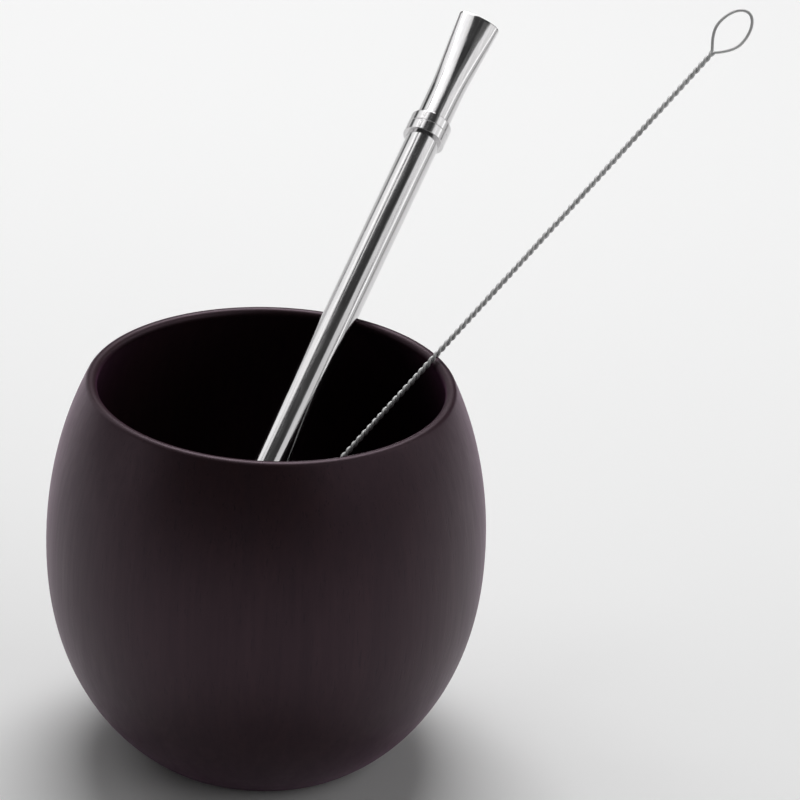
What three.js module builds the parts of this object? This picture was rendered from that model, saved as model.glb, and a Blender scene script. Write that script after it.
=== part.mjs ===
// A turned wooden mate cup with a steel straw and the straw's wire brush leaning in it.
// Millimetres, +Z up. The origin is the centre of the cup's flat base, and +Y points to the back.
import * as THREE from 'three';

// Cup: an egg-like bowl, widest a little above half its height
const CUP_HEIGHT = 79.2;
const BELLY_RADIUS = 44;
const BELLY_HEIGHT = 44.5;
const UPPER_REACH = 61.35;     // height above the belly at which the upper curve would close
const LOWER_REACH = 51.5;      // depth below the belly at which the lower curve would close
const LOWER_FULLNESS = 2.18;   // exponent of the lower curve, where 2 is an ellipse
const BASE_EDGE = 0.6;
const LIP_THICKNESS = 2.4;
const LIP_LEAN = THREE.MathUtils.degToRad(25.5);   // how far the wall leans inwards at the lip
const INNER_BELLY_RADIUS = 40;
const INNER_LOWER_REACH = 42;
const FLOOR_THICKNESS = 6;
const CUP_SEGMENTS = 60;

// Straw: a round steel tube, a scored collar, and a mouthpiece pressed to a wide oval
const TUBE_RADIUS = 3.61;      // at the collar and above it
const TUBE_FOOT_RADIUS = 3.2;
const TUBE_WALL = 0.5;
const STRAW_FOOT = new THREE.Vector3(-14.14, -33.28, 37.2);    // centre of the tube's rounded end
const STRAW_MOUTH = new THREE.Vector3(38.23, 89.02, 123.84);   // centre of the mouth's rim
const MOUTH_TURN = 28.4;       // degrees that the mouth's wide axis is turned from level
const MOUTH_HALF_WIDTH = 4.64;
const MOUTH_HALF_DEPTH = 2.1;
const MOUTH_SQUARENESS = 2.3;  // exponent of the oval at the mouth, where 2 is an ellipse
const MOUTH_EDGE = 0.2;
const COLLAR_START = 126.3;    // distances along the straw from the foot
const COLLAR_LENGTH = 4.7;
const COLLAR_RADIUS = 4.47;
const COLLAR_EDGE = 0.12;
const SCORE_HEIGHT = 2.43;     // the thin line cut round the collar, from the collar's lower end
const SCORE_HALF_WIDTH = 0.12;
const SCORE_DEPTH = 0.12;
const TUBE_END = 128.5;
const FLARE_START = 138.2;
const FLARE_EASE = 6;          // length over which the flare sets in
const STRAW_SEGMENTS = 24;

// Brush: a doubled wire twisted into a stem, with a teardrop loop and a round bristle head
const WIRE_RADIUS = 0.31;
const TWIST_PITCH = 3.06;
const TWIST_STEPS = 6;         // steps for each full turn of the stem
const BRUSH_FOOT = new THREE.Vector3(-24.7, -11.69, 16.31);    // centre of the head's rounded end
const BRUSH_CROSSING = new THREE.Vector3(84.2, 36.71, 139.06); // where the loop's legs meet
const LOOP_TURN = 55.8;        // degrees that the loop's plane is turned from level
const LOOP_LENGTH = 10.35;
const LOOP_HALF_WIDTH = 3.06;
const LOOP_WIDEST = 5.2;
const LEG_SPREAD = 0.35;
const BRISTLE_RADIUS = 2.8;
const BRISTLE_LENGTH = 36;
const CLEARANCE = 0.3;

const wood = new THREE.MeshStandardMaterial({ color: 0x2b1c1f, roughness: 0.45, metalness: 0 });
const steel = new THREE.MeshStandardMaterial({ color: 0xc9c9c9, roughness: 0.22, metalness: 1 });
const wire = new THREE.MeshStandardMaterial({ color: 0x8f8f8f, roughness: 0.35, metalness: 1 });
const nylon = new THREE.MeshStandardMaterial({ color: 0x2c2c2e, roughness: 0.5, metalness: 0 });

// Evenly spaced values from one number to another, both ends included
function spread(from, to, count) {
  return Array.from({ length: count + 1 }, (_, i) => from + (to - from) * i / count);
}

// A profile turned round the Z axis
function turned(profile, segments) {
  const points = profile.map(([radius, height]) => new THREE.Vector2(radius, height));
  return new THREE.LatheGeometry(points, segments).rotateX(Math.PI / 2);
}

// Radius of a rounded bowl at a height: an ellipse above the belly, a fuller curve below it
function bowlRadius(height, belly, upperReach, lowerReach) {
  if (height > BELLY_HEIGHT) {
    return belly * Math.sqrt(1 - ((height - BELLY_HEIGHT) / upperReach) ** 2);
  }
  const depth = (BELLY_HEIGHT - height) / lowerReach;
  return belly * (1 - depth ** LOWER_FULLNESS) ** (1 / LOWER_FULLNESS);
}

function cupGeometry() {
  const lipRound = LIP_THICKNESS / 2;
  const lipHeight = CUP_HEIGHT - lipRound;
  const lipRise = lipRound * Math.sin(LIP_LEAN);
  const lipReach = lipRound * Math.cos(LIP_LEAN);
  const outer = height => bowlRadius(height, BELLY_RADIUS, UPPER_REACH, LOWER_REACH);
  const lipCentre = outer(lipHeight + lipRise) - lipReach;
  const innerTop = lipHeight - lipRise;
  const innerUpperReach = (innerTop - BELLY_HEIGHT)
    / Math.sqrt(1 - ((lipCentre - lipReach) / INNER_BELLY_RADIUS) ** 2);
  const inner = height => bowlRadius(height, INNER_BELLY_RADIUS, innerUpperReach, INNER_LOWER_REACH);
  const baseFlat = outer(0) - BASE_EDGE;
  const outerLower = spread(BASE_EDGE ** 0.5, BELLY_HEIGHT ** 0.5, 11).map(root => root ** 2);
  const outerUpper = spread(BELLY_HEIGHT, lipHeight + lipRise, 7).slice(1);
  const innerUpper = spread(innerTop, BELLY_HEIGHT, 6);
  const innerLower = spread((BELLY_HEIGHT - FLOOR_THICKNESS) ** 0.5, 0, 9).reverse()
    .map(root => BELLY_HEIGHT - root ** 2).slice(1);
  const lip = spread(LIP_LEAN, LIP_LEAN + Math.PI, 7).slice(1, -1)
    .map(turn => [lipCentre + lipRound * Math.cos(turn), lipHeight + lipRound * Math.sin(turn)]);
  return turned([
    [0, 0],
    [baseFlat, 0],
    ...outerLower.map(height => [outer(height), height]),
    ...outerUpper.map(height => [outer(height), height]),
    ...lip,
    ...innerUpper.map(height => [inner(height), height]),
    ...innerLower.map(height => [inner(height), height]),
    [0, FLOOR_THICKNESS],
  ], CUP_SEGMENTS);
}

// A straight tube that widens a little upwards, closed and rounded at its foot and open at its top
function tubeGeometry() {
  const radius = height => THREE.MathUtils.lerp(TUBE_FOOT_RADIUS, TUBE_RADIUS, height / TUBE_END);
  const foot = spread(-Math.PI / 2, 0, 4).slice(1);
  const along = spread(0, TUBE_END, 6);
  return turned([
    [0, -TUBE_FOOT_RADIUS],
    ...foot.map(turn => [TUBE_FOOT_RADIUS * Math.cos(turn), TUBE_FOOT_RADIUS * Math.sin(turn)]),
    ...along.slice(1).map(height => [radius(height), height]),
    ...along.slice().reverse().map(height => [radius(height) - TUBE_WALL, height]),
    [0, TUBE_WALL - TUBE_FOOT_RADIUS],
  ], STRAW_SEGMENTS);
}

function collarGeometry() {
  const bore = TUBE_RADIUS + CLEARANCE;
  return turned([
    [bore, 0],
    [COLLAR_RADIUS - COLLAR_EDGE, 0],
    [COLLAR_RADIUS, COLLAR_EDGE],
    [COLLAR_RADIUS, SCORE_HEIGHT - SCORE_HALF_WIDTH],
    [COLLAR_RADIUS - SCORE_DEPTH, SCORE_HEIGHT],
    [COLLAR_RADIUS, SCORE_HEIGHT + SCORE_HALF_WIDTH],
    [COLLAR_RADIUS, COLLAR_LENGTH - COLLAR_EDGE],
    [COLLAR_RADIUS - COLLAR_EDGE, COLLAR_LENGTH],
    [bore, COLLAR_LENGTH],
    [bore, 0],
  ], STRAW_SEGMENTS);
}

// Share of the full flare at a height: it sets in gently and then grows evenly to the mouth
function flareShare(height, mouth) {
  const run = Math.max(height - FLARE_START, 0);
  const rise = run < FLARE_EASE ? run ** 2 / (2 * FLARE_EASE) : run - FLARE_EASE / 2;
  return rise / (mouth - FLARE_START - FLARE_EASE / 2);
}

// The upper tube, round in the collar, pressed flatter from there on and flared towards its open mouth
function mouthpieceGeometry(strawLength) {
  const start = TUBE_END + CLEARANCE;
  const neck = COLLAR_START + COLLAR_LENGTH;
  const bore = TUBE_RADIUS - TUBE_WALL;
  const along = [start, neck, ...spread(FLARE_START, strawLength - MOUTH_EDGE, 9)];
  const geometry = turned([
    ...along.map(height => [TUBE_RADIUS, height]),
    [TUBE_RADIUS - MOUTH_EDGE, strawLength],
    [bore, strawLength],
    ...along.slice().reverse().map(height => [bore, height]),
    [TUBE_RADIUS, start],
  ], STRAW_SEGMENTS);
  const position = geometry.attributes.position;
  for (let i = 0; i < position.count; i += 1) {
    const height = position.getZ(i);
    const radius = Math.hypot(position.getX(i), position.getY(i));
    const flare = flareShare(height, strawLength);
    const press = Math.max(height - neck, 0) / (strawLength - neck);
    const power = 2 / THREE.MathUtils.lerp(2, MOUTH_SQUARENESS, flare);
    const bend = share => Math.sign(share) * Math.abs(share) ** power;
    const wide = radius + (MOUTH_HALF_WIDTH - TUBE_RADIUS) * flare;
    const deep = radius + (MOUTH_HALF_DEPTH - TUBE_RADIUS) * press;
    position.setXYZ(i, wide * bend(position.getX(i) / radius), deep * bend(position.getY(i) / radius), height);
  }
  return geometry;
}

// The two strands of the stem as one flat bar, twisted left-handed about its own axis
function stemGeometry(start, end) {
  const half = 2 * WIRE_RADIUS;
  const section = new THREE.Shape();
  section.moveTo(-half, -WIRE_RADIUS);
  section.lineTo(half, -WIRE_RADIUS);
  section.lineTo(half, WIRE_RADIUS);
  section.lineTo(-half, WIRE_RADIUS);
  const depth = end - start;
  const steps = Math.round(depth / TWIST_PITCH * TWIST_STEPS);
  const geometry = new THREE.ExtrudeGeometry(section, { depth, steps, bevelEnabled: false });
  const position = geometry.attributes.position;
  const point = new THREE.Vector3();
  const axis = new THREE.Vector3(0, 0, 1);
  for (let i = 0; i < position.count; i += 1) {
    point.fromBufferAttribute(position, i);
    point.applyAxisAngle(axis, -2 * Math.PI * point.z / TWIST_PITCH);
    position.setXYZ(i, point.x, point.y, point.z + start);
  }
  return geometry;
}

// The loop's centre line in its own XZ plane, from one leg up over the top to the other
function loopPath(base) {
  const at = (x, height) => new THREE.Vector3(x, 0, base + height);
  const path = new THREE.CurvePath();
  const side = sign => [
    [at(sign * LEG_SPREAD, 0), at(sign * 2.1, 1.95), at(sign * LOOP_HALF_WIDTH, 3.3),
      at(sign * LOOP_HALF_WIDTH, LOOP_WIDEST)],
    [at(sign * LOOP_HALF_WIDTH, LOOP_WIDEST), at(sign * LOOP_HALF_WIDTH, 7.9),
      at(sign * 1.75, LOOP_LENGTH), at(0, LOOP_LENGTH)],
  ];
  const [leftLeg, leftTop] = side(-1);
  const [rightLeg, rightTop] = side(1);
  path.add(new THREE.CubicBezierCurve3(...leftLeg));
  path.add(new THREE.CubicBezierCurve3(...leftTop));
  path.add(new THREE.CubicBezierCurve3(...rightTop.reverse()));
  path.add(new THREE.CubicBezierCurve3(...rightLeg.reverse()));
  return path;
}

function loopGeometry(base) {
  const section = new THREE.Shape();
  section.absarc(0, 0, WIRE_RADIUS, 0, 2 * Math.PI);
  return new THREE.ExtrudeGeometry(section, {
    steps: 32,
    curveSegments: 7,
    bevelEnabled: false,
    extrudePath: loopPath(base),
  });
}

function bristleGeometry() {
  const foot = spread(-Math.PI / 2, 0, 3);
  return turned([
    ...foot.map(turn => [turn === foot[0] ? 0 : BRISTLE_RADIUS * Math.cos(turn), BRISTLE_RADIUS * Math.sin(turn)]),
    ...spread(0, BRISTLE_LENGTH - BRISTLE_RADIUS / 2, 3).slice(1).map(height => [BRISTLE_RADIUS, height]),
    [BRISTLE_RADIUS / 2, BRISTLE_LENGTH],
    [0, BRISTLE_LENGTH],
  ], STRAW_SEGMENTS / 2);
}

// A group whose Z axis runs from one point to another, with its X axis level and then turned
function leaningGroup(foot, top, turn) {
  const along = top.clone().sub(foot).normalize();
  const across = along.clone().cross(new THREE.Vector3(0, 0, 1)).normalize();
  across.applyAxisAngle(along, THREE.MathUtils.degToRad(turn));
  const depth = along.clone().cross(across);
  const group = new THREE.Group();
  group.quaternion.setFromRotationMatrix(new THREE.Matrix4().makeBasis(across, depth, along));
  group.position.copy(foot);
  return group;
}

function named(name, geometry, material) {
  const mesh = new THREE.Mesh(geometry, material);
  mesh.name = name;
  return mesh;
}

const strawLength = STRAW_FOOT.distanceTo(STRAW_MOUTH);
const collar = named('straw_collar', collarGeometry(), steel);
collar.position.z = COLLAR_START;
const straw = leaningGroup(STRAW_FOOT, STRAW_MOUTH, MOUTH_TURN);
straw.add(
  named('straw_tube', tubeGeometry(), steel),
  collar,
  named('straw_mouthpiece', mouthpieceGeometry(strawLength), steel),
);

const crossing = BRUSH_FOOT.distanceTo(BRUSH_CROSSING);
const brush = leaningGroup(BRUSH_FOOT, BRUSH_CROSSING, LOOP_TURN);
brush.add(
  named('brush_bristles', bristleGeometry(), nylon),
  named('brush_stem', stemGeometry(BRISTLE_LENGTH + CLEARANCE, crossing - CLEARANCE), wire),
  named('brush_loop', loopGeometry(crossing), wire),
);

const part = new THREE.Group();
part.add(named('cup', cupGeometry(), wood), straw, brush);

export default part;
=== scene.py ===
# The looks of a dark wooden mate cup with a steel straw and a twisted wire brush leaning in it.
# Metres, +Z up. The camera looks along +Y.
import math
import random

import bmesh
import bpy
from mathutils import Matrix, Vector


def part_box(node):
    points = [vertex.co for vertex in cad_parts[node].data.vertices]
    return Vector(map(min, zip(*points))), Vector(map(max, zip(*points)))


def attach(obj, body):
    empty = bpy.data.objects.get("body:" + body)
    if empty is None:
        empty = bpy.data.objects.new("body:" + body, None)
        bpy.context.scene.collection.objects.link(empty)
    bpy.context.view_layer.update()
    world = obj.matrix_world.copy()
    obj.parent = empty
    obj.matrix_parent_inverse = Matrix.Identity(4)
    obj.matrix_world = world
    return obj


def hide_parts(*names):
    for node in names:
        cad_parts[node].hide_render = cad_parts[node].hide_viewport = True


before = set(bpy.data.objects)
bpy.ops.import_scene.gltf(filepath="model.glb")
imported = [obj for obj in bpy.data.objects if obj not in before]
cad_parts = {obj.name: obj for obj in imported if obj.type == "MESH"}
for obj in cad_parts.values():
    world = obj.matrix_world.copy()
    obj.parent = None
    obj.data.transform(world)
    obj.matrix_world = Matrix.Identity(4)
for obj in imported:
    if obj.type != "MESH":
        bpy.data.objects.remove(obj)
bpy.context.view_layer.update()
MM = 0.001
JOIN_DISTANCE = 1e-6           # metres within which the points of a mesh are joined
ON_AXIS = 1e-6                 # millimetres from the axis within which a ring is one point
SHARP_ANGLE = math.radians(50)

# Camera, fitted to the photograph's outline of the cup
CAMERA_ELEVATION = math.radians(25.41)
CAMERA_ROLL = math.radians(2.83)
CAMERA_DISTANCE = 784.81 * MM
CAMERA_AIM = Vector((25.4, 0, 76.53)) * MM
PICTURE_WIDTH = 800            # pixels
FOCAL_LENGTH = 3981.6          # pixels
FOCAL_IN_FRAMES = FOCAL_LENGTH / PICTURE_WIDTH
SENSOR = 36                    # millimetres

# Light: soft panels at one distance in metres round the cup, and a weak even world
SOFTBOX_DISTANCE = 1.2
SOFTBOX_AIM_HEIGHT = 0.06
WORLD_COLOUR = (1, 1, 1, 1)
WORLD_STRENGTH = 0.04

# Softboxes: azimuth from +Y to +X and elevation in degrees, width and height in metres, radiance
SOFTBOXES = {
    "left_softbox": (-80, 42, 1.1, 0.95, 0.18),
    "left_strip": (-53, 36, 0.35, 0.9, 0.97),
    "left_top_strip": (-62, 60, 0.3, 0.25, 0.85),
    "left_low_softbox": (-100, 10, 0.6, 0.4, 0.86),
    "right_softbox": (122, 30, 1.05, 1.05, 0.65),
    "right_strip": (97, 36, 0.4, 1.0, 0.1),
    "right_back_softbox": (80, 30, 0.45, 0.7, 0.9),
    "right_low_softbox": (80, 10, 0.6, 0.4, 0.6),
    "back_top_softbox": (0, 60, 0.9, 0.6, 6.2),
    "over_back_softbox": (0, 69.5, 0.7, 0.7, 1.3),
    "back_left_softbox": (-40, 8, 0.8, 0.4, 0.6),
}

# Floor, in millimetres
FLOOR_HALF = 3000
FLOOR_COLOUR = (0.9, 0.9, 0.9, 1)
FLOOR_ROUGHNESS = 0.9

# Cup, in millimetres, with the driving sizes of the solid
CUP_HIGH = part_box("cup")[1]     # the highest corner of the cup's box, in metres
CUP_HEIGHT = CUP_HIGH[2] / MM
BELLY_RADIUS = CUP_HIGH[0] / MM
BELLY_HEIGHT = 44.5
UPPER_REACH = 61.35            # height above the belly at which the upper curve would close
LOWER_REACH = 51.5             # depth below the belly at which the lower curve would close
LOWER_FULLNESS = 2.18          # exponent of the lower curve, where 2 is an ellipse
BASE_EDGE = 0.6
BASE_ROUND = BASE_EDGE * 0.9   # radius of the rounding at the base's edge
BASE_ROUND_END = -40           # degrees at which that rounding meets the wall
LIP_THICKNESS = 2.4
LIP_LEAN = 25.5                # degrees that the wall leans inwards at the lip
INNER_BELLY_RADIUS = 40
INNER_LOWER_REACH = 42
FLOOR_THICKNESS = 6
BASE_SHARES = (0.25, 0.5, 0.75, 0.9)   # rings across the base, as shares of its radius
FLOOR_SHARES = (0.8, 0.5, 0.2)         # rings across the floor, as shares of its radius
CUP_SEGMENTS = 256
WALL_ROWS = 40
LIP_ROWS = 24
INNER_UPPER_ROWS = 24
INNER_LOWER_ROWS = 30
EDGE_ROWS = 5                  # round the small edges of the cup's base and of the collar

# Straw, in millimetres
TUBE_RADIUS = 3.61             # at the collar and above it
TUBE_FOOT_RADIUS = 3.2
TUBE_WALL = 0.5
TUBE_END = 128.5
TUBE_ROWS = 50
FOOT_ROWS = 16
FOOT_INNER_ROWS = 8
STRAW_FOOT = Vector((-14.14, -33.28, 37.2))
STRAW_MOUTH = Vector((38.23, 89.02, 123.84))
MOUTH_TURN = 28.4              # degrees that the mouth's wide axis is turned from level
MOUTH_HALF_WIDTH = 4.64
MOUTH_HALF_DEPTH = 2.1
MOUTH_SQUARENESS = 2.3         # exponent of the oval at the mouth, where 2 is an ellipse
MOUTH_ROWS = 70
MOUTH_EDGE_ROWS = 8
COLLAR_START = 126.3           # distance along the straw from the foot
COLLAR_LENGTH = 4.7
COLLAR_RADIUS = 4.47
COLLAR_EDGE = 0.12
COLLAR_BITE = 0.02             # how far the collar's bore reaches into the tube that it is soldered to
SCORE_HEIGHT = 2.43            # the thin line cut round the collar, from the collar's lower end
SCORE_HALF_WIDTH = 0.12
SCORE_ROWS = 8
EDGE_SUPPORT = 0.03            # width of the narrow bands that keep the shading of the flats even
FLARE_START = 138.2
FLARE_EASE = 6                 # length over which the flare sets in
STRAW_SEGMENTS = 96
STRAINER_START = 1.5
STRAINER_ROWS = 8
STRAINER_COLUMNS = 8
STRAINER_PITCH = 2.6
STRAINER_HOLE_RADIUS = 0.55
STRAINER_RINGS = 3             # from the border of each patch in to its hole

# Brush, in millimetres
WIRE_RADIUS = 0.31
TWIST_PITCH = 3.06
BRUSH_FOOT = Vector((-24.7, -11.69, 16.31))
BRUSH_CROSSING = Vector((84.2, 36.71, 139.06))   # where the loop's legs meet
PARTING = 0.4                  # length below the crossing over which the strands part
LOOP_TURN = 55.8               # degrees that the loop's plane is turned from level
LOOP_LENGTH = 10.35
LOOP_HALF_WIDTH = 3.06
LOOP_WIDEST = 5.2
LEG_SPREAD = 0.35
LEG_HANDLE = (-2.1, 1.95)      # corners that pull the loop's curves, across and up from the crossing
LOW_HANDLE = (-LOOP_HALF_WIDTH, 3.3)
HIGH_HANDLE = (-LOOP_HALF_WIDTH, 7.9)
TOP_HANDLE = (-1.75, LOOP_LENGTH)
LOOP_STEPS = 16                # for each quarter of the loop
WIRE_SIDES = 10
TWIST_STEPS = 18               # for each full turn of the stem
BRISTLE_RADIUS = 2.8
BRISTLE_LENGTH = 36
WIRE_START = -BRISTLE_RADIUS * 0.8     # the wire's lower end, in the head's rounded foot
HAIR_COUNT = 1500
HAIR_RADIUS = 0.05
HAIR_SIDES = 3
HAIR_START = -0.5              # height of the lowest hair
HAIR_RUN = BRISTLE_LENGTH - 1  # from the lowest hair to the highest
HAIR_FULL = 1.5                # height from which the hairs are full length
HAIR_FOOT_SHARE = 0.75         # length of the lowest hair, as a share of the full length
HAIR_FAN = 0.5                 # radians that a hair may leave its spiral
HAIR_LEAN = 0.12               # most that a hair rises or falls, as a share of its length
HAIR_SHORTEST = 0.93           # length of the shortest hair, as a share of the full length
HAIR_SEED = 7

# Noise: the range that most of its values are in, and its levels of detail
NOISE_LOW = 0.3
NOISE_HIGH = 0.7
COARSE = 2
MEDIUM = 3
FINE = 4

# Wood: noise scales are per metre, and low along the grain
WOOD_DARK = (0.0036, 0.0016, 0.0017, 1)
WOOD_LIGHT = (0.0195, 0.009, 0.009, 1)
WOOD_DARK_END = 0.1            # grain value up to which the wood is at its darkest
WOOD_IOR = 1.45
WOOD_GLOSS_TINT = (1.0, 0.7, 0.88, 1)
WOOD_SHEEN = 0.13
WOOD_SHEEN_ROUGHNESS = 0.4
WOOD_SHEEN_TINT = (1.0, 0.4, 0.83, 1)
WOOD_DARK_ROUGHNESS = 0.47
WOOD_LIGHT_ROUGHNESS = 0.36
WOOD_BUMP = 0.25
WOOD_BUMP_DEPTH = 0.00006      # metres
FIGURE_SCALE = (150, 150, 9)
FIGURE_DISTORTION = 0.8
FIGURE_DARKEST = 0.55
FIBRE_SCALE = (900, 900, 40)
FIBRE_DARKEST = 0.6
PORE_SCALE = (2300, 2300, 190)
PORE_LOW = 0.30
PORE_HIGH = 0.38
PORE_DARKEST = 0.25

# Steel: noise scales are per metre, and streaks run along the piece
STRAW_COLOUR = (0.755, 0.745, 0.752)
STRAW_ROUGHNESS = 0.14
STRAW_STREAKS = 2600
WIRE_COLOUR = (0.74, 0.74, 0.74)
WIRE_ROUGHNESS = 0.75
WIRE_STREAKS = 3000
STREAK_ALONG = 110
STREAK_DARKEST = 0.84
STREAK_WEAR = 0.25             # change of roughness from streak to streak, as a share
SMUDGE_SCALE = (160, 160, 90)
SMUDGE_WEAR = 0.2              # change of roughness from smudge to smudge, as a share
STEEL_BUMP = 0.22
STEEL_BUMP_DEPTH = 0.00002     # metres

# Nylon
NYLON_DARK = (0.012, 0.012, 0.013, 1)
NYLON_LIGHT = (0.05, 0.05, 0.054, 1)
NYLON_SCALE = (900, 900, 900)
NYLON_ROUGHNESS = 0.45


def mesh_object(name, points, faces, material, smooth=True):
    """An object from points in millimetres, with shared points joined and normals facing out."""
    mesh = bpy.data.meshes.new(name)
    mesh.from_pydata([Vector(point) * MM for point in points], [], faces)
    mesh.update()
    work = bmesh.new()
    work.from_mesh(mesh)
    bmesh.ops.remove_doubles(work, verts=work.verts, dist=JOIN_DISTANCE)
    bmesh.ops.recalc_face_normals(work, faces=work.faces)
    work.to_mesh(mesh)
    work.free()
    if smooth:
        mesh.polygons.foreach_set("use_smooth", [True] * len(mesh.polygons))
        mesh.set_sharp_from_angle(angle=SHARP_ANGLE)
    mesh.materials.append(material)
    piece = bpy.data.objects.new(name, mesh)
    bpy.context.scene.collection.objects.link(piece)
    return piece


def spread(start, end, count):
    """Evenly spaced values from one number to another, both ends included."""
    return [start + (end - start) * i / count for i in range(count + 1)]


def arc(centre, radius, start, end, count):
    """Points of an arc in a profile plane, from one angle to another in degrees."""
    x, y = centre
    turns = [math.radians(angle) for angle in spread(start, end, count)]
    return [(x + radius * math.cos(turn), y + radius * math.sin(turn)) for turn in turns]


def turned(profile, segments, closed=False, shape=None):
    """Points and faces of a profile turned round Z. A closed profile's last ring joins its first."""
    points = []
    rows = []
    for radius, height in profile:
        if radius < ON_AXIS:
            rows.append([len(points)])
            points.append((0, 0, height))
            continue
        rows.append(list(range(len(points), len(points) + segments)))
        for i in range(segments):
            angle = 2 * math.pi * i / segments
            points.append((radius * math.cos(angle), radius * math.sin(angle), height))
    if shape:
        points = [shape(*point) for point in points]
    faces = []
    pairs = list(zip(rows, rows[1:]))
    if closed:
        pairs.append((rows[-1], rows[0]))
    for lower, upper in pairs:
        for i in range(segments):
            j = (i + 1) % segments
            if len(lower) == 1:
                faces.append((lower[0], upper[j], upper[i]))
            elif len(upper) == 1:
                faces.append((lower[i], lower[j], upper[0]))
            else:
                faces.append((lower[i], lower[j], upper[j], upper[i]))
    return points, faces


def leaning_matrix(foot, top, turn):
    """The place of a piece whose Z runs from one point to another, its X level and then turned."""
    along = (top - foot).normalized()
    across = along.cross(Vector((0, 0, 1))).normalized()
    across = Matrix.Rotation(math.radians(turn), 3, along) @ across
    depth = along.cross(across)
    matrix = Matrix((across, depth, along)).transposed().to_4x4()
    matrix.translation = foot * MM
    return matrix


# Materials


def new_material(name):
    """A material with its nodes, its links and its shader."""
    material = bpy.data.materials.new(name)
    material.use_nodes = True
    nodes = material.node_tree.nodes
    return material, nodes, material.node_tree.links, nodes["Principled BSDF"]


def stretched_noise(nodes, links, scale, detail, distortion=0.0):
    """A noise in the piece's own space, with its own scale per metre along each axis."""
    place = nodes.new("ShaderNodeTexCoord")
    space = nodes.new("ShaderNodeMapping")
    space.inputs["Scale"].default_value = scale
    links.new(place.outputs["Object"], space.inputs["Vector"])
    noise = nodes.new("ShaderNodeTexNoise")
    noise.inputs["Scale"].default_value = 1.0
    noise.inputs["Detail"].default_value = detail
    noise.inputs["Distortion"].default_value = distortion
    links.new(space.outputs["Vector"], noise.inputs["Vector"])
    return noise.outputs["Fac"]


def remapped(nodes, links, value, low, high, to_low, to_high):
    """A value moved from one range to another and kept inside it."""
    node = nodes.new("ShaderNodeMapRange")
    node.inputs["From Min"].default_value = low
    node.inputs["From Max"].default_value = high
    node.inputs["To Min"].default_value = to_low
    node.inputs["To Max"].default_value = to_high
    links.new(value, node.inputs["Value"])
    return node.outputs["Result"]


def from_noise(nodes, links, noise, to_low, to_high):
    """A noise moved to a range and kept inside it."""
    return remapped(nodes, links, noise, NOISE_LOW, NOISE_HIGH, to_low, to_high)


def product(nodes, links, first, second):
    """Two values multiplied."""
    node = nodes.new("ShaderNodeMath")
    node.operation = "MULTIPLY"
    links.new(first, node.inputs[0])
    links.new(second, node.inputs[1])
    return node.outputs["Value"]


def colour_along(nodes, links, shader, value, stops):
    """Colours the shader by a value, through a ramp whose two stops are a place and a colour each."""
    ramp = nodes.new("ShaderNodeValToRGB")
    for element, (position, colour) in zip(ramp.color_ramp.elements, stops):
        element.position = position
        element.color = colour
    links.new(value, ramp.inputs["Fac"])
    links.new(ramp.outputs["Color"], shader.inputs["Base Color"])


def bump_along(nodes, links, shader, value, strength, depth):
    """Raises the shader's surface by a value."""
    bump = nodes.new("ShaderNodeBump")
    bump.inputs["Strength"].default_value = strength
    bump.inputs["Distance"].default_value = depth
    links.new(value, bump.inputs["Height"])
    links.new(bump.outputs["Normal"], shader.inputs["Normal"])


def stained_wood():
    """Dark stained wood under a satin lacquer, with the grain running up the cup."""
    material, nodes, links, shader = new_material("stained_wood")
    shader.inputs["IOR"].default_value = WOOD_IOR
    shader.inputs["Specular Tint"].default_value = WOOD_GLOSS_TINT
    shader.inputs["Sheen Weight"].default_value = WOOD_SHEEN
    shader.inputs["Sheen Roughness"].default_value = WOOD_SHEEN_ROUGHNESS
    shader.inputs["Sheen Tint"].default_value = WOOD_SHEEN_TINT
    figure = stretched_noise(nodes, links, FIGURE_SCALE, MEDIUM, FIGURE_DISTORTION)
    fibre = stretched_noise(nodes, links, FIBRE_SCALE, FINE)
    pores = stretched_noise(nodes, links, PORE_SCALE, COARSE)
    tone = product(nodes, links, from_noise(nodes, links, figure, FIGURE_DARKEST, 1.0),
                   from_noise(nodes, links, fibre, FIBRE_DARKEST, 1.0))
    open_pores = remapped(nodes, links, pores, PORE_LOW, PORE_HIGH, PORE_DARKEST, 1.0)
    grain = product(nodes, links, tone, open_pores)
    colour_along(nodes, links, shader, grain, [(WOOD_DARK_END, WOOD_DARK), (1.0, WOOD_LIGHT)])
    rough = remapped(nodes, links, tone, NOISE_LOW, 1.0, WOOD_DARK_ROUGHNESS, WOOD_LIGHT_ROUGHNESS)
    links.new(rough, shader.inputs["Roughness"])
    bump_along(nodes, links, shader, grain, WOOD_BUMP, WOOD_BUMP_DEPTH)
    return material


def steel(name, colour, roughness, streaks):
    """Polished steel with fine streaks along the piece's own Z."""
    material, nodes, links, shader = new_material(name)
    shader.inputs["Metallic"].default_value = 1
    streak = stretched_noise(nodes, links, (streaks, streaks, STREAK_ALONG), FINE)
    smudge = stretched_noise(nodes, links, SMUDGE_SCALE, MEDIUM)
    dark = [channel * STREAK_DARKEST for channel in colour]
    colour_along(nodes, links, shader, streak, [(NOISE_LOW, (*dark, 1)), (NOISE_HIGH, (*colour, 1))])
    smooth_streak = roughness * (1 - STREAK_WEAR)
    rough_streak = roughness * (1 + STREAK_WEAR)
    wear = product(nodes, links, from_noise(nodes, links, smudge, 1 - SMUDGE_WEAR, 1 + SMUDGE_WEAR),
                   from_noise(nodes, links, streak, smooth_streak, rough_streak))
    links.new(wear, shader.inputs["Roughness"])
    bump_along(nodes, links, shader, streak, STEEL_BUMP, STEEL_BUMP_DEPTH)
    return material


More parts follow.
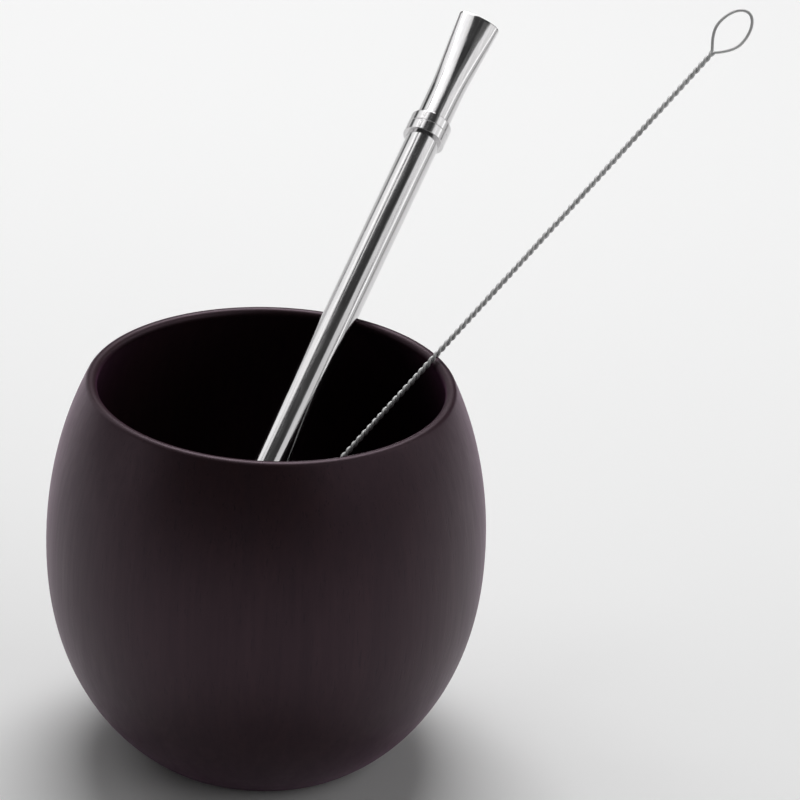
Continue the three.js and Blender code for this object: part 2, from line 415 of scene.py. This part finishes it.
def nylon():
    """Dark bristles, a little lighter here and there."""
    material, nodes, links, shader = new_material("bristle_nylon")
    shader.inputs["Roughness"].default_value = NYLON_ROUGHNESS
    mottle = stretched_noise(nodes, links, NYLON_SCALE, COARSE)
    colour_along(nodes, links, shader, mottle, [(0.0, NYLON_DARK), (1.0, NYLON_LIGHT)])
    return material


# Cup


def bowl_radius(height, belly, upper_reach, lower_reach):
    """Radius of a rounded bowl: an ellipse above the belly and a fuller curve below it."""
    if height > BELLY_HEIGHT:
        return belly * math.sqrt(1 - ((height - BELLY_HEIGHT) / upper_reach) ** 2)
    depth = (BELLY_HEIGHT - height) / lower_reach
    return belly * max(1 - depth**LOWER_FULLNESS, 0) ** (1 / LOWER_FULLNESS)


def make_cup(material):
    """The turned cup: base, outer wall, rounded lip, inner wall and floor."""
    lip_round = LIP_THICKNESS / 2
    lip_height = CUP_HEIGHT - lip_round
    lip_rise = lip_round * math.sin(math.radians(LIP_LEAN))
    lip_reach = lip_round * math.cos(math.radians(LIP_LEAN))
    outer_top = lip_height + lip_rise
    inner_top = lip_height - lip_rise
    lip_centre = bowl_radius(outer_top, BELLY_RADIUS, UPPER_REACH, LOWER_REACH) - lip_reach
    inner_share = (lip_centre - lip_reach) / INNER_BELLY_RADIUS
    inner_reach = (inner_top - BELLY_HEIGHT) / math.sqrt(1 - inner_share**2)
    lower_depth = BELLY_HEIGHT - FLOOR_THICKNESS

    def outer(height):
        return bowl_radius(height, BELLY_RADIUS, UPPER_REACH, LOWER_REACH), height

    def inner(height):
        return bowl_radius(height, INNER_BELLY_RADIUS, inner_reach, INNER_LOWER_REACH), height

    base = bowl_radius(0, BELLY_RADIUS, UPPER_REACH, LOWER_REACH)
    profile = [(0, 0)]
    profile += [(base * share, 0) for share in BASE_SHARES]
    profile += arc((base - BASE_EDGE, BASE_ROUND), BASE_ROUND, -90, BASE_ROUND_END, EDGE_ROWS)
    outer_roots = spread(math.sqrt(BASE_EDGE), math.sqrt(BELLY_HEIGHT), WALL_ROWS)
    profile += [outer(root**2) for root in outer_roots]
    profile += [outer(height) for height in spread(BELLY_HEIGHT, outer_top, WALL_ROWS)[1:]]
    profile += arc((lip_centre, lip_height), lip_round, LIP_LEAN, LIP_LEAN + 180, LIP_ROWS)[1:]
    profile += [inner(height) for height in spread(inner_top, BELLY_HEIGHT, INNER_UPPER_ROWS)[1:]]
    inner_roots = spread(0, math.sqrt(lower_depth), INNER_LOWER_ROWS)[1:]
    profile += [inner(BELLY_HEIGHT - root**2) for root in inner_roots]
    floor_radius = inner(FLOOR_THICKNESS)[0]
    profile += [(floor_radius * share, FLOOR_THICKNESS) for share in FLOOR_SHARES]
    profile.append((0, FLOOR_THICKNESS))
    points, faces = turned(profile, CUP_SEGMENTS)
    piece = mesh_object("cup_wood", points, faces, material)
    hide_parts("cup")
    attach(piece, "root")


# Straw


def tube_radius(height):
    """The tube's outer radius at a height: it widens a little from its foot to its end."""
    share = min(max(height / TUBE_END, 0), 1)
    return TUBE_FOOT_RADIUS + (TUBE_RADIUS - TUBE_FOOT_RADIUS) * share


def strainer_rings(column, row, steps):
    """Rings of places on the tube, as turn and height, from a patch's border in to its hole."""
    width = 2 * math.pi / STRAINER_COLUMNS
    low = STRAINER_START + row * STRAINER_PITCH
    radius = tube_radius(low)
    middle = ((column + 0.5) * width, low + STRAINER_PITCH / 2)
    side = spread(-1, 1, steps)
    square = [(x, -1) for x in side[:-1]] + [(1, y) for y in side[:-1]]
    square += [(-x, 1) for x in side[:-1]] + [(-1, -y) for y in side[:-1]]
    result = []
    for ring in range(STRAINER_RINGS + 1):
        share = ring / STRAINER_RINGS
        places = []
        for x, y in square:
            edge = (x * width / 2, y * STRAINER_PITCH / 2)
            turn = math.atan2(edge[1], edge[0] * radius)
            hole_turn = STRAINER_HOLE_RADIUS * math.cos(turn) / radius
            hole_rise = STRAINER_HOLE_RADIUS * math.sin(turn)
            angle = middle[0] + edge[0] + (hole_turn - edge[0]) * share
            height = middle[1] + edge[1] + (hole_rise - edge[1]) * share
            places.append((angle, height))
        result.append(places)
    return result


def strainer_wall():
    """The stretch of the tube near its foot that is pierced by rows of small round holes."""
    steps = STRAW_SEGMENTS // STRAINER_COLUMNS
    points = []
    faces = []
    for column in range(STRAINER_COLUMNS):
        for row in range(STRAINER_ROWS):
            inward = strainer_rings(column, row, steps)
            loops = [(places, 0) for places in inward]
            loops += [(places, TUBE_WALL) for places in reversed(inward)]
            count = len(inward[0])
            start = len(points)
            for places, inset in loops:
                for angle, height in places:
                    radius = tube_radius(height) - inset
                    points.append((radius * math.cos(angle), radius * math.sin(angle), height))
            for ring in range(len(loops) - 1):
                low = start + ring * count
                for k in range(count):
                    j = (k + 1) % count
                    faces.append((low + k, low + j, low + count + j, low + count + k))
    return points, faces


def make_tube(material):
    """The straw's tube: a closed round foot, the pierced stretch above it and the plain wall."""
    strainer_end = STRAINER_START + STRAINER_ROWS * STRAINER_PITCH
    bore = TUBE_FOOT_RADIUS - TUBE_WALL
    foot = [(0, -TUBE_FOOT_RADIUS)]
    foot += arc((0, 0), TUBE_FOOT_RADIUS, -90, 0, FOOT_ROWS)[1:]
    foot += [(tube_radius(STRAINER_START), STRAINER_START)]
    inside = [(tube_radius(STRAINER_START) - TUBE_WALL, STRAINER_START)]
    inside += arc((0, 0), bore, 0, -90, FOOT_INNER_ROWS)[:-1]
    inside += [(0, -bore)]
    rows = spread(strainer_end, TUBE_END, TUBE_ROWS)
    upper = [(tube_radius(height), height) for height in rows]
    upper += [(tube_radius(height) - TUBE_WALL, height) for height in reversed(rows)]
    points = []
    faces = []
    stretches = [turned(foot, STRAW_SEGMENTS), turned(inside, STRAW_SEGMENTS)]
    stretches += [turned(upper, STRAW_SEGMENTS), strainer_wall()]
    for more_points, more_faces in stretches:
        start = len(points)
        points += more_points
        faces += [tuple(start + k for k in face) for face in more_faces]
    return mesh_object("straw_tube_steel", points, faces, material)


def flare_share(height, mouth):
    """Share of the full flare at a height: it sets in gently and then grows evenly to the mouth."""
    run = max(height - FLARE_START, 0)
    rise = run**2 / (2 * FLARE_EASE) if run < FLARE_EASE else run - FLARE_EASE / 2
    return rise / (mouth - FLARE_START - FLARE_EASE / 2)


def make_mouthpiece(material):
    """The upper tube, pressed flatter from the collar on and flared towards its open mouth."""
    length = (STRAW_MOUTH - STRAW_FOOT).length
    bore = TUBE_RADIUS - TUBE_WALL
    edge = TUBE_WALL / 2
    neck = COLLAR_START + COLLAR_LENGTH

    def pressed(x, y, height):
        """A point of the round tube, moved to where the pressed tube has it."""
        radius = math.hypot(x, y)
        flare = flare_share(height, length)
        press = max(height - neck, 0) / (length - neck)
        power = 2 / (2 + (MOUTH_SQUARENESS - 2) * flare)
        wide = radius + (MOUTH_HALF_WIDTH - TUBE_RADIUS) * flare
        deep = radius + (MOUTH_HALF_DEPTH - TUBE_RADIUS) * press
        across = math.copysign(abs(x / radius) ** power, x)
        back = math.copysign(abs(y / radius) ** power, y)
        return wide * across, deep * back, height

    rows = spread(TUBE_END, length - edge, MOUTH_ROWS)
    profile = [(TUBE_RADIUS, height) for height in rows]
    profile += arc((TUBE_RADIUS - edge, length - edge), edge, 0, 180, MOUTH_EDGE_ROWS)[1:-1]
    profile += [(bore, height) for height in reversed(rows)]
    points, faces = turned(profile, STRAW_SEGMENTS, closed=True, shape=pressed)
    return mesh_object("straw_mouthpiece_steel", points, faces, material)


def make_collar(material):
    """The collar round the straw, with small round edges and one thin scored line."""
    bore = TUBE_RADIUS - COLLAR_BITE
    rim = COLLAR_RADIUS - COLLAR_EDGE
    upper_edge = COLLAR_LENGTH - COLLAR_EDGE
    margin = SCORE_HALF_WIDTH + EDGE_SUPPORT
    profile = [(bore, 0), (rim - EDGE_SUPPORT, 0)]
    profile += arc((rim, COLLAR_EDGE), COLLAR_EDGE, -90, 0, EDGE_ROWS)
    profile += [(COLLAR_RADIUS, COLLAR_EDGE + EDGE_SUPPORT), (COLLAR_RADIUS, SCORE_HEIGHT - margin)]
    profile += arc((COLLAR_RADIUS, SCORE_HEIGHT), SCORE_HALF_WIDTH, -90, -270, SCORE_ROWS)
    profile += [(COLLAR_RADIUS, SCORE_HEIGHT + margin), (COLLAR_RADIUS, upper_edge - EDGE_SUPPORT)]
    profile += arc((rim, upper_edge), COLLAR_EDGE, 0, 90, EDGE_ROWS)
    profile += [(rim - EDGE_SUPPORT, COLLAR_LENGTH), (bore, COLLAR_LENGTH)]
    points, faces = turned(profile, STRAW_SEGMENTS, closed=True)
    points = [(x, y, height + COLLAR_START) for x, y, height in points]
    return mesh_object("straw_collar_steel", points, faces, material)


def make_straw(material):
    """The straw's three pieces, in the straw's place in the cup."""
    place = leaning_matrix(STRAW_FOOT, STRAW_MOUTH, MOUTH_TURN)
    tube = make_tube(material)
    mouth = make_mouthpiece(material)
    collar = make_collar(material)
    pieces = ((tube, "straw_tube"), (mouth, "straw_mouthpiece"), (collar, "straw_collar"))
    for piece, node in pieces:
        piece.matrix_world = place
        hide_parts(node)
        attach(piece, "root")


# Brush


def cubic(points, t):
    """A point of a cubic curve with four corners, at a share of its way."""
    a, b, c, d = points
    s = 1 - t
    return a * s**3 + b * 3 * s * s * t + c * 3 * s * t * t + d * t**3


def loop_points(base):
    """The loop's centre line, from the first strand's leg over the top to the second strand's."""
    leg = (-LEG_SPREAD, 0)
    widest = (-LOOP_HALF_WIDTH, LOOP_WIDEST)
    lower = (leg, LEG_HANDLE, LOW_HANDLE, widest)
    upper = (widest, HIGH_HANDLE, TOP_HANDLE, (0, LOOP_LENGTH))
    half = []
    for curve in (lower, upper):
        corners = [Vector((x, 0, base + z)) for x, z in curve]
        half += [cubic(corners, t) for t in spread(0, 1, LOOP_STEPS)[:-1]]
    top = Vector((0, 0, base + LOOP_LENGTH))
    mirrored = [Vector((-point.x, point.y, point.z)) for point in reversed(half)]
    return half + [top] + mirrored


def strand_points(start, end, phase):
    """One strand of the stem, winding left-handed up to where the loop's legs meet."""
    count = int((end - start) / TWIST_PITCH * TWIST_STEPS)
    points = []
    for height in spread(start, end, count):
        turn = phase - 2 * math.pi * (height - end) / TWIST_PITCH
        points.append(Vector((WIRE_RADIUS * math.cos(turn), WIRE_RADIUS * math.sin(turn), height)))
    return points


def swept(path, radius, sides):
    """A closed round wire along a path, with its section carried along without twisting."""
    points = []
    faces = []
    tangents = []
    for i in range(len(path)):
        before = path[max(i - 1, 0)]
        after = path[min(i + 1, len(path) - 1)]
        tangents.append((after - before).normalized())
    side = tangents[0].orthogonal().normalized()
    for i, (centre, tangent) in enumerate(zip(path, tangents)):
        side = (side - tangent * side.dot(tangent)).normalized()
        other = tangent.cross(side)
        for k in range(sides):
            angle = 2 * math.pi * k / sides
            points.append(centre + (side * math.cos(angle) + other * math.sin(angle)) * radius)
        if i:
            low = (i - 1) * sides
            for k in range(sides):
                j = (k + 1) % sides
                faces.append((low + k, low + j, low + sides + j, low + sides + k))
    faces.append(tuple(reversed(range(sides))))
    faces.append(tuple(range(len(points) - sides, len(points))))
    return points, faces


def bristle_hairs():
    """Fine hairs that stand out from the twisted wire in two spirals, shorter at the foot."""
    draw = random.Random(HAIR_SEED)
    points = []
    faces = []
    for i in range(HAIR_COUNT):
        height = HAIR_START + HAIR_RUN * i / HAIR_COUNT
        fan = draw.uniform(-HAIR_FAN, HAIR_FAN)
        turn = math.pi * (i % 2) - 2 * math.pi * height / TWIST_PITCH + fan
        reach = BRISTLE_RADIUS * draw.uniform(HAIR_SHORTEST, 1.0)
        if height < HAIR_FULL:
            grown = (height - HAIR_START) / (HAIR_FULL - HAIR_START)
            reach *= HAIR_FOOT_SHARE + (1 - HAIR_FOOT_SHARE) * grown
        lean = draw.uniform(-HAIR_LEAN, HAIR_LEAN)
        root = Vector((0, 0, height))
        tip = Vector((math.cos(turn) * reach, math.sin(turn) * reach, height + lean * reach))
        hair_points, hair_faces = swept([root, (root + tip) / 2, tip], HAIR_RADIUS, HAIR_SIDES)
        start = len(points)
        points += hair_points
        faces += [tuple(start + k for k in face) for face in hair_faces]
    return points, faces


def make_brush(wire, bristle):
    """The brush: one doubled wire, twisted and looped at its top, and the hairs of its head."""
    place = leaning_matrix(BRUSH_FOOT, BRUSH_CROSSING, LOOP_TURN)
    crossing = (BRUSH_CROSSING - BRUSH_FOOT).length
    up = strand_points(WIRE_START, crossing - PARTING, math.pi)
    down = strand_points(WIRE_START, crossing - PARTING, 0)
    path = up + loop_points(crossing) + down[::-1]
    points, faces = swept(path, WIRE_RADIUS, WIRE_SIDES)
    wire_piece = mesh_object("brush_wire", points, faces, wire)
    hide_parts("brush_stem", "brush_loop")

    points, faces = bristle_hairs()
    hairs = mesh_object("brush_bristle_hairs", points, faces, bristle, smooth=False)
    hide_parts("brush_bristles")
    for piece, slot in ((wire_piece, "wire_steel"), (hairs, "nylon")):
        piece.matrix_world = place
        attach(piece, "root")


# Stage


def make_camera():
    """The camera at the photograph's viewing angle."""
    data = bpy.data.cameras.new("camera")
    data.sensor_width = SENSOR
    data.lens = SENSOR * FOCAL_IN_FRAMES
    camera = bpy.data.objects.new("camera", data)
    bpy.context.scene.collection.objects.link(camera)
    forward = Vector((0, math.cos(CAMERA_ELEVATION), -math.sin(CAMERA_ELEVATION)))
    level_up = Vector((0, math.sin(CAMERA_ELEVATION), math.cos(CAMERA_ELEVATION)))
    level_right = Vector((1, 0, 0))
    right = level_right * math.cos(CAMERA_ROLL) + level_up * math.sin(CAMERA_ROLL)
    up = level_up * math.cos(CAMERA_ROLL) - level_right * math.sin(CAMERA_ROLL)
    matrix = Matrix((right, up, -forward)).transposed().to_4x4()
    matrix.translation = CAMERA_AIM - forward * CAMERA_DISTANCE
    camera.matrix_world = matrix
    bpy.context.scene.camera = camera


def softbox(name, azimuth, elevation, width, height, radiance):
    """A soft panel round the cup, turned towards it and not seen by the camera."""
    data = bpy.data.lights.new(name, "AREA")
    data.shape = "RECTANGLE"
    data.size = width
    data.size_y = height
    data.energy = math.pi * width * height * radiance
    light = bpy.data.objects.new(name, data)
    bpy.context.scene.collection.objects.link(light)
    turn = math.radians(azimuth)
    lift = math.radians(elevation)
    level = math.cos(lift)
    towards = Vector((math.sin(turn) * level, math.cos(turn) * level, math.sin(lift)))
    light.location = towards * SOFTBOX_DISTANCE + Vector((0, 0, SOFTBOX_AIM_HEIGHT))
    light.rotation_mode = "QUATERNION"
    light.rotation_quaternion = towards.to_track_quat("Z", "Y")
    light.visible_camera = False


def make_stage():
    """The weak even world, the pale floor and the soft panels."""
    scene = bpy.context.scene
    scene.view_settings.view_transform = "Standard"
    world = bpy.data.worlds.new("studio")
    world.use_nodes = True
    scene.world = world
    background = world.node_tree.nodes["Background"]
    background.inputs["Color"].default_value = WORLD_COLOUR
    background.inputs["Strength"].default_value = WORLD_STRENGTH

    material, _, _, shader = new_material("floor_paper")
    shader.inputs["Base Color"].default_value = FLOOR_COLOUR
    shader.inputs["Roughness"].default_value = FLOOR_ROUGHNESS
    corners = [(-FLOOR_HALF, -FLOOR_HALF, 0), (FLOOR_HALF, -FLOOR_HALF, 0)]
    corners += [(FLOOR_HALF, FLOOR_HALF, 0), (-FLOOR_HALF, FLOOR_HALF, 0)]
    floor = mesh_object("floor", corners, [(0, 1, 2, 3)], material)

    for name, (azimuth, elevation, width, height, radiance) in SOFTBOXES.items():
        softbox(name, azimuth, elevation, width, height, radiance)


make_camera()
wood = stained_wood()
straw_steel = steel("straw_steel", STRAW_COLOUR, STRAW_ROUGHNESS, STRAW_STREAKS)
wire_steel = steel("wire_steel", WIRE_COLOUR, WIRE_ROUGHNESS, WIRE_STREAKS)
bristle_nylon = nylon()
make_cup(wood)
make_straw(straw_steel)
make_brush(wire_steel, bristle_nylon)
make_stage()
